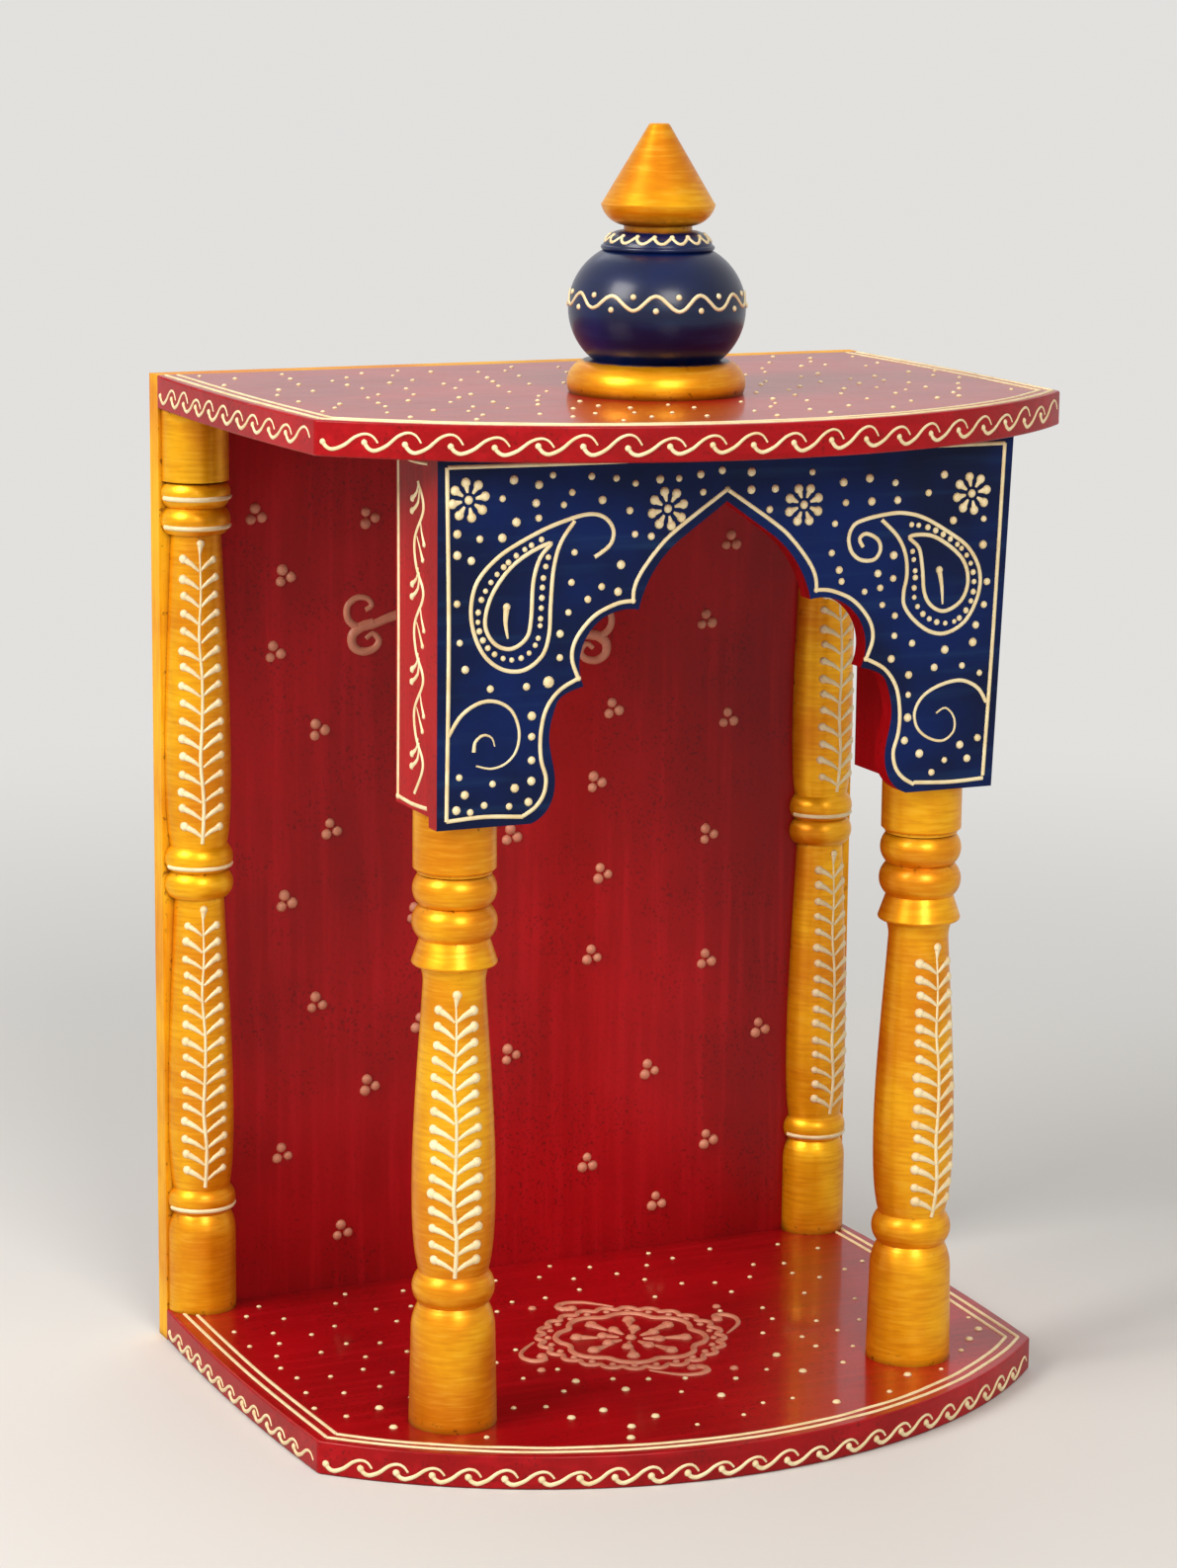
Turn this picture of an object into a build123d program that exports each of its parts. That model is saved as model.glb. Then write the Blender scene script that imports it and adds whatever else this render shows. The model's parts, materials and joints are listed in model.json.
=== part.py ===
"""A small painted wooden household shrine that stands on a table or shelf.

A bow-fronted base board and a top board of the same plan butt against a back panel.
Two turned columns at the front carry corner blocks and a cusped arch board, two split
turnings stand against the panel, and a turned pot finial sits on the top board.

Millimetres. The front faces -Y, +X is to the right, +Z is up. The origin is the middle
of the footprint, on the surface that the shrine stands on.
"""

from build123d import *
import os

os.makedirs("parts", exist_ok=True)

# The two horizontal boards share one plan
board_thickness = 12.0
board_back_width = 284.0
board_front_width = 280.0
board_side_depth = 153.0
board_front_bow = 59.0
board_side_bow = 2.5
board_corner_radius = 3.0
board_arris = 0.8

# The back panel runs from the ground to the top of the top board
panel_thickness = 9.0
body_height = 361.0

# The arch board hangs from the top board in front of the columns
arch_face_setback = 39.0
arch_thickness = 7.0
arch_half_width = 105.0
arch_right_flare = 5.0
arch_drop = 123.5

# The crown of the opening, as drops below the top edge of the arch board and half widths
apex_drop = 18.5
crown_shoulder_drop = 30.0
crown_shoulder_half = 16.5
upper_cusp_drop = 53.5
upper_cusp_half = 32.2
lobe_sagitta = 9.9

# The legs of the opening, as rises above their feet and half widths
lower_cusp_rise = 45.3
lower_cusp_half = 52.2
haunch_rise = 38.5
haunch_half = 62.6
waist_rise = 29.5
waist_half = 64.6
bulge_rise = 15.0
bulge_half = 62.4
foot_half = 71.0

# The blocks behind the arch board stand on the columns
block_width = 35.0
block_margin = 0.3
block_lift = 3.5

# The front columns are turned in the round, listed from the foot up
column_inset = 15.5
column_foot_radius = 15.3
column_drum_radius = 14.6
column_drum_height = 33.5
column_shoulder_height = 9.7
column_groove_radius = 12.0
column_low_bead_radius = 14.3
column_low_bead_height = 11.2
column_belly_radius = 14.4
column_belly_height = 30.0
column_neck_radius = 10.7
column_flare_radius = 12.0
column_flare_height = 6.0
column_disc_radius = 14.7
column_disc_height = 9.2
column_disc_round = 1.2
column_second_bead_radius = 14.6
column_second_bead_height = 11.5
column_first_bead_radius = 14.4
column_first_bead_height = 11.1
column_collar_radius = 12.8
column_collar_height = 1.1
column_head_radius = 14.2
column_head_height = 21.6
column_head_arris = 0.7

# The split turnings stand against the panel, between the boards
split_inset = 13.7
split_drum_radius = 12.9
split_drum_height = 30.0
split_shoulder_height = 7.6
split_groove_radius = 10.8
split_bead_radius = 12.9
split_bead_height = 9.6
split_belly_radius = 12.4
split_belly_height = 30.0
split_neck_radius = 9.4
split_lower_shaft_height = 110.6
split_head_radius = 12.4
split_head_height = 26.0

# How full the vase curves are, as shares of the stretch that each one covers
swell_reach = 0.70
swell_rise = 0.20
swell_fullness = 0.50
taper_fullness = 0.33
taper_reach = 0.27
taper_rise = 0.75

# Round tenons join the columns and the finial to the boards and the blocks
tenon_radius = 4.0
tenon_length = 7.0
tenon_clearance = 0.15
tenon_end_gap = 0.5

# The pot finial, listed from the foot up
finial_offset = 2.2
finial_advance = 10.0
finial_foot_radius = 31.0
finial_foot_height = 11.3
finial_foot_edge_height = 3.4
finial_foot_round = 0.8
finial_foot_ledge = 3.2
pot_base_radius = 22.0
pot_belly_radius = 30.8
pot_belly_height = 18.2
pot_height = 37.9
pot_shoulder_radius = 18.8
lip_radius = 19.7
lip_rim_height = 1.8
lip_rim_round = 0.8
lip_height = 6.6
lip_crown = 0.8
lip_top_radius = 13.2
spire_neck_radius = 11.8
spire_neck_height = 1.8
spire_radius = 19.8
spire_underside_height = 7.7
spire_underside_round = 1.5
spire_edge_round = 0.4
spire_tip_radius = 3.7
spire_tip_arris = 0.5
spire_height = 27.0

# Places worked out from the sizes
depth = panel_thickness + board_side_depth + board_front_bow
panel_face = depth / 2 - panel_thickness
board_corner = panel_face - board_side_depth
board_front = board_corner - board_front_bow
top_board_foot = body_height - board_thickness
arch_face = board_front + arch_face_setback
arch_back = arch_face + arch_thickness
arch_foot = top_board_foot - arch_drop
block_foot = arch_foot + block_lift
block_depth = 2 * (column_head_radius + block_margin)
block_middle = arch_back + block_depth / 2
column_half_spacing = arch_half_width - column_inset
split_half_spacing = board_back_width / 2 - split_inset


def board(height):
    """One of the two boards, its underside at the given height."""
    half_back, half_front = board_back_width / 2, board_front_width / 2
    middle = (panel_face + board_corner) / 2
    half_side = (half_back + half_front) / 2 + board_side_bow
    outline = [
        Line((half_back, panel_face), (-half_back, panel_face)),
        ThreePointArc((-half_back, panel_face), (-half_side, middle), (-half_front, board_corner)),
        ThreePointArc((-half_front, board_corner), (0, board_front), (half_front, board_corner)),
        ThreePointArc((half_front, board_corner), (half_side, middle), (half_back, panel_face)),
    ]
    plan = make_face(outline)
    plan = fillet(plan.vertices().sort_by(Axis.Y)[:2], board_corner_radius)
    solid = Pos(0, 0, height) * extrude(plan, board_thickness)
    exposed = [
        edge
        for face in (solid.faces().sort_by(Axis.Z)[0], solid.faces().sort_by(Axis.Z)[-1])
        for edge in face.edges()
        if edge.center().Y < panel_face - board_arris
    ]
    return fillet(exposed, board_arris)


def pocket(x, y, mouth, up):
    """The blind hole for a round tenon, cut up or down from its mouth."""
    length = tenon_length + tenon_end_gap
    return Pos(x, y, mouth + up * length / 2) * Cylinder(tenon_radius + tenon_clearance, length)


def tenon(height):
    """A round tenon on the turning axis, from the given height up."""
    return Pos(0, 0, height + tenon_length / 2) * Cylinder(tenon_radius, tenon_length)


def bead(radius, low, high, groove):
    """A half-round bead between two grooves, as an arc of the turned profile."""
    return ThreePointArc((groove, low), (radius, (low + high) / 2), (groove, high))


def vase(low, high, foot, belly, belly_height, neck):
    """A vase-shaped shaft: a quick swell above the foot and a long taper to the neck."""
    widest = low + belly_height
    swell = Bezier(
        (foot, low),
        (foot + swell_reach * (belly - foot), low + swell_rise * belly_height),
        (belly, widest - swell_fullness * belly_height),
        (belly, widest),
    )
    taper = Bezier(
        (belly, widest),
        (belly, widest + taper_fullness * (high - widest)),
        (neck + taper_reach * (belly - neck), widest + taper_rise * (high - widest)),
        (neck, high),
    )
    return [swell, taper]


def spin(profile, turn=360.0):
    """Turn a profile, drawn upward as radius and height, about the upright axis."""
    low, high = profile[0] @ 0, profile[-1] @ 1
    closing = Polyline((high.X, high.Y), (0, high.Y), (0, low.Y), (low.X, low.Y))
    section = Plane.XZ * make_face(profile + [closing])
    return revolve(section, Axis.Z, turn)


def front_column():
    """A front column on the axis, its foot at zero, with a tenon at each end."""
    height = block_foot - board_thickness
    groove = column_groove_radius
    shoulder = column_drum_height + column_shoulder_height
    bead_top = shoulder + column_low_bead_height
    head_foot = height - column_head_height
    collar_foot = head_foot - column_collar_height
    first_foot = collar_foot - column_first_bead_height
    second_foot = first_foot - column_second_bead_height
    disc_foot = second_foot - column_disc_height
    flare_foot = disc_foot - column_flare_height
    disc_corner = (column_disc_radius - column_disc_round, disc_foot)
    disc_edge = (column_disc_radius, disc_foot + column_disc_round)
    profile = [
        Line((column_foot_radius, 0), (column_drum_radius, column_drum_height)),
        TangentArc((column_drum_radius, column_drum_height), (groove, shoulder), tangent=(0, 1)),
        bead(column_low_bead_radius, shoulder, bead_top, groove),
        *vase(
            bead_top,
            flare_foot,
            groove,
            column_belly_radius,
            column_belly_height,
            column_neck_radius,
        ),
        TangentArc(
            (column_neck_radius, flare_foot), (column_flare_radius, disc_foot), tangent=(0, 1)
        ),
        Line((column_flare_radius, disc_foot), disc_corner),
        TangentArc(disc_corner, disc_edge, tangent=(1, 0)),
        Line(disc_edge, (groove, second_foot)),
        bead(column_second_bead_radius, second_foot, first_foot, groove),
        bead(column_first_bead_radius, first_foot, collar_foot, groove),
        Polyline(
            (groove, collar_foot),
            (column_collar_radius, collar_foot),
            (column_collar_radius, head_foot),
            (column_head_radius - column_head_arris, head_foot),
            (column_head_radius, head_foot + column_head_arris),
            (column_head_radius, height),
        ),
    ]
    turned = spin(profile) + tenon(-tenon_length) + tenon(height)
    return Pos(0, block_middle, board_thickness) * turned


def split_column():
    """A half-round turning, its foot at zero and its flat back on the panel."""
    height = top_board_foot - board_thickness
    groove = split_groove_radius
    shoulder = split_drum_height + split_shoulder_height
    low_bead_top = shoulder + split_bead_height
    lower_shaft_top = low_bead_top + split_lower_shaft_height
    middle_groove = lower_shaft_top + split_bead_height
    upper_shaft_foot = middle_groove + split_bead_height
    head_foot = height - split_head_height
    upper_groove = head_foot - split_bead_height
    upper_shaft_top = upper_groove - split_bead_height
    profile = [
        Line((split_drum_radius, 0), (split_drum_radius, split_drum_height)),
        TangentArc((split_drum_radius, split_drum_height), (groove, shoulder), tangent=(0, 1)),
        bead(split_bead_radius, shoulder, low_bead_top, groove),
        *vase(
            low_bead_top,
            lower_shaft_top,
            groove,
            split_belly_radius,
            split_belly_height,
            split_neck_radius,
        ),
        Line((split_neck_radius, lower_shaft_top), (groove, lower_shaft_top)),
        bead(split_bead_radius, lower_shaft_top, middle_groove, groove),
        bead(split_bead_radius, middle_groove, upper_shaft_foot, groove),
        *vase(
            upper_shaft_foot,
            upper_shaft_top,
            groove,
            split_belly_radius,
            split_belly_height,
            split_neck_radius,
        ),
        Line((split_neck_radius, upper_shaft_top), (groove, upper_shaft_top)),
        bead(split_bead_radius, upper_shaft_top, upper_groove, groove),
        bead(split_bead_radius, upper_groove, head_foot, groove),
        Line((groove, head_foot), (split_head_radius, head_foot)),
        Line((split_head_radius, head_foot), (split_head_radius, height)),
    ]
    turned = Rot(0, 0, 180) * spin(profile, 180)
    return Pos(0, panel_face, board_thickness) * turned


def arch_half(side):
    """One side of the arch opening, from the foot of the leg up to the apex."""
    foot, top = arch_foot, top_board_foot
    apex = (0, top - apex_drop)
    crown_shoulder = (side * crown_shoulder_half, top - crown_shoulder_drop)
    upper_cusp = (side * upper_cusp_half, top - upper_cusp_drop)
    lower_cusp = (side * lower_cusp_half, foot + lower_cusp_rise)
    crown_slope = (crown_shoulder[0] - apex[0], crown_shoulder[1] - apex[1])
    leg = Spline(
        (side * foot_half, foot),
        (side * bulge_half, foot + bulge_rise),
        (side * waist_half, foot + waist_rise),
        (side * haunch_half, foot + haunch_rise),
        lower_cusp,
        tangents=((-side * 1.0, 0.35), (-side * 1.0, 0.25)),
    )
    lobe = SagittaArc(lower_cusp, upper_cusp, -side * lobe_sagitta)
    crown = TangentArc(crown_shoulder, upper_cusp, tangent=crown_slope)
    return [leg, lobe, crown, Line(crown_shoulder, apex)]


def arch_board():
    """The cusped board, flat on both faces, cut from one plank."""
    left, right = -arch_half_width, arch_half_width
    outer = [
        Line((-foot_half, arch_foot), (left, arch_foot)),
        Line((left, arch_foot), (left, top_board_foot)),
        Line((left, top_board_foot), (right + arch_right_flare, top_board_foot)),
        Line((right + arch_right_flare, top_board_foot), (right, arch_foot)),
        Line((right, arch_foot), (foot_half, arch_foot)),
    ]
    face = make_face(arch_half(-1) + arch_half(1) + outer)
    return Pos(0, arch_back, 0) * (Plane.XZ * extrude(face, arch_thickness))


def corner_block(side):
    """The block behind one leg of the arch board, bored for the column's tenon."""
    height = top_board_foot - block_foot
    x = side * (arch_half_width - block_width / 2)
    block = Pos(x, block_middle, block_foot + height / 2) * Box(block_width, block_depth, height)
    return block - pocket(side * column_half_spacing, block_middle, block_foot, 1)


def finial():
    """The foot ring, pot and pointed lid, turned from one piece, with a peg below."""
    foot_top = finial_foot_height
    belly = foot_top + pot_belly_height
    shoulder = foot_top + pot_height
    rim = shoulder + lip_rim_height
    lip_top = shoulder + lip_height
    neck_top = lip_top + spire_neck_height
    spire_edge = neck_top + spire_underside_height
    tip = spire_edge + spire_height
    rim_edge = (lip_radius - lip_rim_round, rim)
    lid_edge = (spire_radius, spire_edge - spire_edge_round)
    lid_shoulder = (spire_radius - spire_edge_round, spire_edge)
    profile = [
        ThreePointArc(
            (finial_foot_radius - finial_foot_round, 0),
            (finial_foot_radius, finial_foot_edge_height),
            (pot_base_radius + finial_foot_ledge, foot_top),
        ),
        Line((pot_base_radius + finial_foot_ledge, foot_top), (pot_base_radius, foot_top)),
        ThreePointArc(
            (pot_base_radius, foot_top),
            (pot_belly_radius, belly),
            (pot_shoulder_radius, shoulder),
        ),
        ThreePointArc(
            (pot_shoulder_radius, shoulder),
            (lip_radius, (shoulder + rim) / 2),
            rim_edge,
        ),
        ThreePointArc(
            rim_edge,
            ((rim_edge[0] + lip_top_radius) / 2 + lip_crown, (rim + lip_top) / 2 + lip_crown),
            (lip_top_radius, lip_top),
        ),
        Line((lip_top_radius, lip_top), (spire_neck_radius, lip_top)),
        Line((spire_neck_radius, lip_top), (spire_neck_radius, neck_top)),
        ThreePointArc(
            (spire_neck_radius, neck_top),
            (spire_radius - spire_underside_round, (neck_top + spire_edge) / 2),
            lid_edge,
        ),
        Line(lid_edge, lid_shoulder),
        Line(lid_shoulder, (spire_tip_radius, tip - spire_tip_arris)),
        Line((spire_tip_radius, tip - spire_tip_arris), (spire_tip_radius - spire_tip_arris, tip)),
    ]
    turned = spin(profile) + tenon(-tenon_length)
    return Pos(finial_offset, -finial_advance, body_height) * turned


def base_board():
    """The lower board, bored for the feet of the front columns."""
    solid = board(0)
    for side in (-1, 1):
        solid -= pocket(side * column_half_spacing, block_middle, board_thickness, -1)
    return solid


def top_board():
    """The upper board, bored for the peg of the finial."""
    return board(top_board_foot) - pocket(finial_offset, -finial_advance, body_height, -1)


def back_panel():
    """The plain panel that both boards butt against."""
    return Pos(0, panel_face + panel_thickness / 2, body_height / 2) * Box(
        board_back_width, panel_thickness, body_height
    )


def on_side(solid, side, spacing):
    """Move a turning made on the middle line to the left or the right."""
    return Pos(side * spacing, 0, 0) * solid


nodes = {
    "base_board": base_board(),
    "top_board": top_board(),
    "back_panel": back_panel(),
    "arch_board": arch_board(),
    "finial": finial(),
}
for name, side in (("left", -1), ("right", 1)):
    nodes[f"corner_block_{name}"] = corner_block(side)
    nodes[f"front_column_{name}"] = on_side(front_column(), side, column_half_spacing)
    nodes[f"back_column_{name}"] = on_side(split_column(), side, split_half_spacing)

for name, solid in nodes.items():
    export_step(solid, f"parts/{name}.step")
    print(name, round(solid.volume), [round(v, 1) for v in solid.bounding_box().size])
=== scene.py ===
"""Finish of a small painted home shrine: crimson boards under varnish, a deep blue arch and
pot, gold turnings, and the raised cream ornament that is laid on them from a paper cone.

Blender's own lengths are metres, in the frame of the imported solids: the front faces -Y, +X
is to the right and +Z is up. Places on a painted surface are written in millimetres.
"""

import json
import math
import random

import bmesh
import bpy
from mathutils import Matrix, Vector
from mathutils.bvhtree import BVHTree
from mathutils.geometry import interpolate_bezier

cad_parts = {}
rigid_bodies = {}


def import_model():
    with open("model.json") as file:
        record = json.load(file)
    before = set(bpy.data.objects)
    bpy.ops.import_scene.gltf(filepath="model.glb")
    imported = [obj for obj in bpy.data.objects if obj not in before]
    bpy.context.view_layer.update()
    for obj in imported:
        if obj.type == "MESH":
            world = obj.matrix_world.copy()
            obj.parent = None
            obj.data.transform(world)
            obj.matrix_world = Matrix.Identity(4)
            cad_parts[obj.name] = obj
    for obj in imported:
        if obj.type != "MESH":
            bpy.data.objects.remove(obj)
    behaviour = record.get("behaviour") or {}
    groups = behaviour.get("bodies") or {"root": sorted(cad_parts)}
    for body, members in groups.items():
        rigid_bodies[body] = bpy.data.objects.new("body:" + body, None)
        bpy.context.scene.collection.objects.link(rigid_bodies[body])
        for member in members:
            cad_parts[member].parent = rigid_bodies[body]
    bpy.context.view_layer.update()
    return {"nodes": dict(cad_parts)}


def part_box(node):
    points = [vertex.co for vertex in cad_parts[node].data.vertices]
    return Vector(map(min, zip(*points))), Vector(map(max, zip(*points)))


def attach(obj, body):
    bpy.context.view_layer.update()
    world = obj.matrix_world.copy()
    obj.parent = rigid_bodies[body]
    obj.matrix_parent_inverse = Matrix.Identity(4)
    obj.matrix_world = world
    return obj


for leftover in list(bpy.data.objects):
    bpy.data.objects.remove(leftover)

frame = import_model()

MM = 0.001
BODY = "root"
hand = random.Random(11)


def corner_mm(node, corner):
    """The lowest (0) or the highest (1) corner of a node, in millimetres."""
    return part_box(node)[corner] / MM


# Sizes that the ornament follows, in millimetres
top_foot = corner_mm("top_board", 0).z
body_top = corner_mm("top_board", 1).z
board_front = corner_mm("base_board", 0).y
panel_face = corner_mm("back_panel", 0).y
panel_half = corner_mm("back_panel", 1).x
arch_left = corner_mm("arch_board", 0).x
arch_foot = corner_mm("arch_board", 0).z
block_back = corner_mm("corner_block_left", 1).y
block_front = corner_mm("corner_block_left", 0).y
block_foot = corner_mm("corner_block_left", 0).z

# The plan of the two boards: a bowed front between two corners
front_corner_half = 140
front_corner_y = -51.5
front_sag = front_corner_y - board_front
front_radius = (front_corner_half**2 + front_sag**2) / (2 * front_sag)
front_centre_y = board_front + front_radius

# Where the finial stands on the top board, and the medallion's middle on the base board
FINIAL_PLACE = (2, -10)
IDOL_PLACE = (4, 4.5)

# Paint laid from the cone, in millimetres. SINK, FULL and DOME are shares of half its width.
LINE = 1.5  # the usual width of a line
SINK = 0.36  # how far the middle of a line lies under the surface
FULL = 1.06  # how thick a line is round its middle
DOME = 0.6  # how high a dot stands
STEP = 1.2  # the longest step along a line
LEAF_STEP = 2.2  # the longest step along a leaf
DOT_SIDES, DOT_RINGS = 10, 4

# Where rays to a flat face start, well clear of the shrine
FAR = 400

# The colour of the floor far from the shrine and of the backdrop
PALE = (0.76, 0.75, 0.73, 1)


class Skin:
    """The painted surface of one node, seen along a ray from each place on it."""

    def __init__(self, node, look):
        graph = bpy.context.evaluated_depsgraph_get()
        self.tree = BVHTree.FromObject(frame["nodes"][node], graph)
        self.look = look

    def place(self, across, up):
        """The point and the outward normal where the ray of a place meets the node."""
        start, way = self.look(across, up)
        point, normal, _, _ = self.tree.ray_cast(Vector(start) * MM, Vector(way))
        return point, normal


def front_skin(node):
    """A face that looks to the front: across is x, up is z."""
    return Skin(node, lambda x, z: ((x, -FAR, z), (0, 1, 0)))


def top_skin(node):
    """A face that looks up: across is x and up is y. The ray starts just above the node."""
    above = corner_mm(node, 1).z + 1
    return Skin(node, lambda x, y: ((x, y, above), (0, 0, -1)))


def side_skin(node, side):
    """A face that looks left (-1) or right (1): across runs to the right as seen from there."""
    return Skin(node, lambda across, z: ((side * FAR, side * across, z), (-side, 0, 0)))


def turned_skin(node, facing, radius):
    """A turned surface: across is an arc length, measured from where it faces, in degrees."""
    middle = (corner_mm(node, 0) + corner_mm(node, 1)) / 2
    if node.startswith("back"):
        middle.y = panel_face
    clear = 60  # from the axis, outside the turning and short of its neighbours

    def look(across, z):
        angle = math.radians(facing) + across / radius
        out = Vector((math.cos(angle), math.sin(angle), 0))
        return Vector((middle.x, middle.y, z)) + out * clear, -out

    return Skin(node, look)


def rim_skin(node):
    """The bowed front edge of a board: across is the arc length from the middle."""

    def look(across, z):
        angle = across / front_radius
        out = Vector((math.sin(angle), -math.cos(angle), 0))
        return Vector((0, front_centre_y, z)) + out * (front_radius + 20), -out

    return Skin(node, look)


def smooth(places, closed=False, step=STEP):
    """An even path of short steps on a smooth curve through the places."""
    knots = [Vector(place) for place in places]
    last = len(knots) - 1

    def knot(index):
        return knots[index % len(knots)] if closed else knots[min(max(index, 0), last)]

    path = []
    for index in range(len(knots) if closed else last):
        before, here, there, after = (knot(index + shift) for shift in (-1, 0, 1, 2))
        steps = max(1, math.ceil((there - here).length / step))
        lead, trail = here + (there - before) / 6, there - (after - here) / 6
        path += interpolate_bezier(here, lead, trail, there, steps + 1)[:-1]
    return path if closed else path + [knots[-1]]


def even(share):
    """A line that is equally wide all along."""
    return 1.0


def fattening(share):
    """A stroke that starts thin and ends full."""
    return 0.30 + 0.70 * share


def dying(share):
    """A stroke that starts full and trails off."""
    return 1.0 - 0.55 * share**1.5


def outward(angle):
    """The way out from a centre on a painted surface, at that angle."""
    return Vector((math.cos(angle), math.sin(angle)))


class Cone:
    """Raised ornament laid from a paper cone. Everything laid by one cone is one piece."""

    def __init__(self, name):
        self.name = name
        self.tubes = bpy.data.curves.new(name, "CURVE")
        self.tubes.dimensions = "3D"
        self.tubes.bevel_depth = 1.0
        self.tubes.bevel_resolution = 1
        self.tubes.use_fill_caps = True
        self.blobs = bmesh.new()

    def line(self, skin, places, width=LINE, closed=False, swell=even, step=STEP):
        """A raised line through the places."""
        path = smooth(places, closed, step)
        spline = self.tubes.splines.new("POLY")
        spline.points.add(len(path) - 1)
        spline.use_cyclic_u = closed
        for index, (bead, spot) in enumerate(zip(spline.points, path)):
            point, normal = skin.place(*spot)
            half = width / 2 * swell(index / (len(path) - 1)) * MM
            bead.co = (*(point - normal * half * SINK), 1)
            bead.radius = half * FULL

    def dot(self, skin, place, width):
        """A round blob."""
        point, normal = skin.place(*place)
        turn = normal.to_track_quat("Z", "Y").to_matrix().to_4x4()
        half = width / 2 * MM
        shape = Matrix.Diagonal((half, half, half * DOME, 1))
        seat = Matrix.Translation(point) @ turn @ shape
        bmesh.ops.create_uvsphere(
            self.blobs, u_segments=DOT_SIDES, v_segments=DOT_RINGS, radius=1, matrix=seat
        )

    def dots(self, skin, places, width):
        """Blobs of about one width, as uneven as a hand makes them."""
        for place in places:
            self.dot(skin, place, width * hand.uniform(0.82, 1.15))

    def drop(self, skin, root, tip, width, bend=0.0):
        """A drop-shaped leaf or petal: a thin tail at its root and a round head."""
        root, tip = Vector(root), Vector(tip)
        along = tip - root
        middle = (root + tip) / 2 + Vector((-along.y, along.x)) * bend
        self.line(skin, [root, middle, tip], width * 0.85, swell=fattening, step=LEAF_STEP)
        self.dot(skin, tip, width)

    def leaf(self, skin, places, width):
        """A drop-shaped leaf that bends through the places to its round head."""
        self.line(skin, places, width * 0.8, swell=fattening, step=LEAF_STEP)
        self.dot(skin, places[-1], width)

    def lay(self, paint):
        """Join what was laid into one smooth piece that rides on the shrine."""
        holder = bpy.data.objects.new(self.name + "_lines", self.tubes)
        bpy.context.scene.collection.objects.link(holder)
        bpy.context.view_layer.update()
        lines = bpy.data.meshes.new_from_object(holder)
        bpy.data.objects.remove(holder)
        self.blobs.from_mesh(lines)
        for face in self.blobs.faces:
            face.smooth = True
        mesh = bpy.data.meshes.new(self.name)
        self.blobs.to_mesh(mesh)
        self.blobs.free()
        mesh.materials.clear()
        mesh.materials.append(paint)
        piece = bpy.data.objects.new(self.name, mesh)
        bpy.context.scene.collection.objects.link(piece)
        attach(piece, BODY)


class Value:
    """A number or colour inside a shader. Arithmetic on it adds Math nodes."""

    def __init__(self, mixture, socket):
        self.mixture = mixture
        self.socket = socket

    def maths(self, operation, other=0.0):
        """One Math node, with this value as its first number."""
        settings = {"operation": operation}
        return self.mixture.node("ShaderNodeMath", settings, {0: self, 1: other})

    def __add__(self, other):
        return self.maths("ADD", other)

    __radd__ = __add__

    def __mul__(self, other):
        return self.maths("MULTIPLY", other)

    __rmul__ = __mul__

    def __sub__(self, other):
        return self.maths("SUBTRACT", other)

    def __rsub__(self, other):
        return self * -1 + other

    def __abs__(self):
        return self.maths("ABSOLUTE")


def colour(red, green, blue):
    """A paint colour, named by its screen values from 0 to 255."""
    screen_gamma = 2.2
    return (*((part / 255) ** screen_gamma for part in (red, green, blue)), 1)


# The sockets of a Mix node that mixes colours, which share their names with its other sockets
MIX_SHARE, MIX_FIRST, MIX_SECOND, MIX_RESULT = 0, 6, 7, 2


class Mixture:
    """The nodes of one material or of the sky, added one at a time."""

    def __init__(self, owner):
        owner.use_nodes = True
        self.tree = owner.node_tree

    def node(self, kind, settings=None, inputs=None, output=0):
        """Add a node, with its settings first and then its inputs, and give one output."""
        made = self.tree.nodes.new(kind)
        for name, setting in (settings or {}).items():
            setattr(made, name, setting)
        for name, value in (inputs or {}).items():
            self.feed(made.inputs[name], value)
        return Value(self, made.outputs[output])

    def feed(self, socket, value):
        """Link a value to a socket, or set the socket to a plain number or colour."""
        if isinstance(value, Value):
            self.tree.links.new(value.socket, socket)
        else:
            socket.default_value = value

    def seen(self):
        """1 for what is seen, straight or in gloss or through glass, and 0 for other light."""
        names = ("Is Camera Ray", "Is Glossy Ray", "Is Transmission Ray")
        eye, gloss, glass = (self.node("ShaderNodeLightPath", output=name) for name in names)
        return eye.maths("MAXIMUM", gloss).maths("MAXIMUM", glass)


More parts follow.
